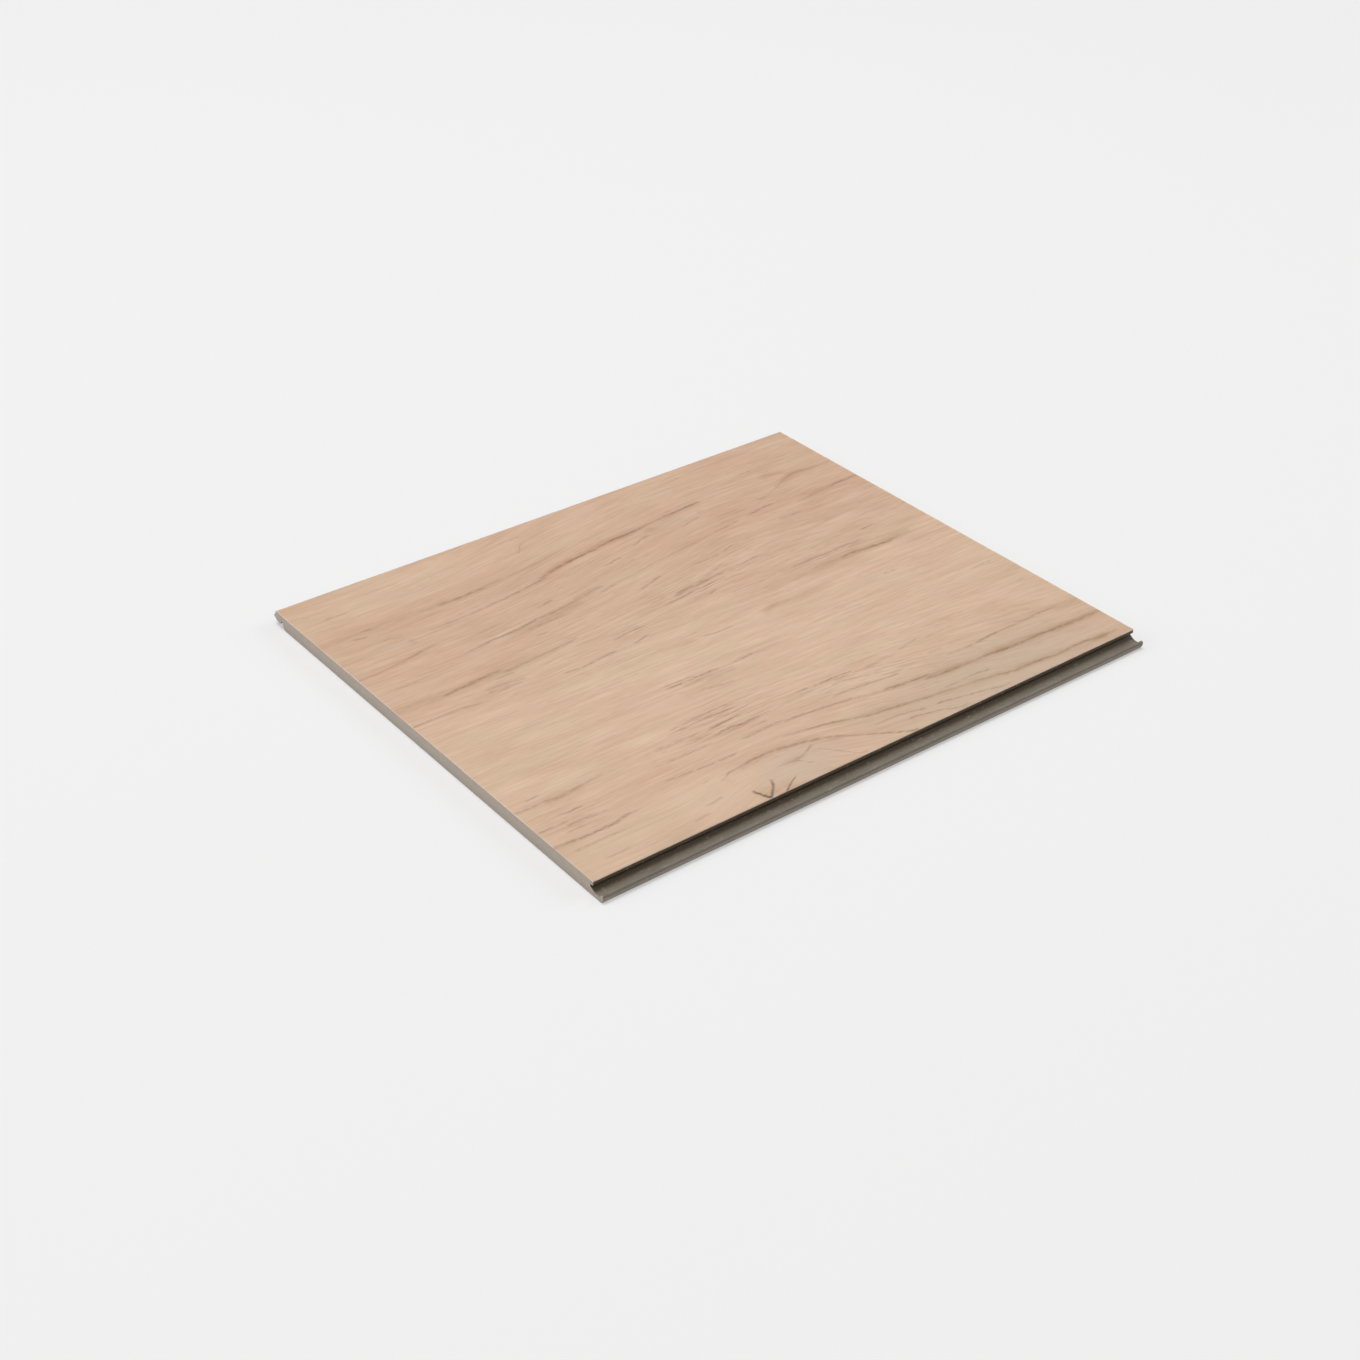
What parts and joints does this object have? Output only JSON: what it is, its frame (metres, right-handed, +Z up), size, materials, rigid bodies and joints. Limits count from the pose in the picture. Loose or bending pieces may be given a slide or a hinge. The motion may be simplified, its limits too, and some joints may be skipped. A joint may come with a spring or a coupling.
{
  "type": "laminate flooring sample",
  "caption": "Flat sample sawn from a flooring plank: a wood-look decor layer on a grey core board, with a click-lock groove and tongue milled along its long edges.",
  "frame": {"origin": "on the underside, below the middle of the decor face, so that boards laid side by side repeat along Y at the cover width", "axes": "+X along the grain between the sawn ends, +Y from the groove side to the tongue side, +Z up out of the decor face"},
  "size_m": [0.216, 0.1857, 0.005],
  "materials": {
    "core": "matt warm grey, sawn and milled",
    "decor": "pale oak print under a matt wear layer with fine pores"
  },
  "bodies": {
    "root": {"core_board": "core", "decor_layer": "decor"}
  },
  "joints": []
}
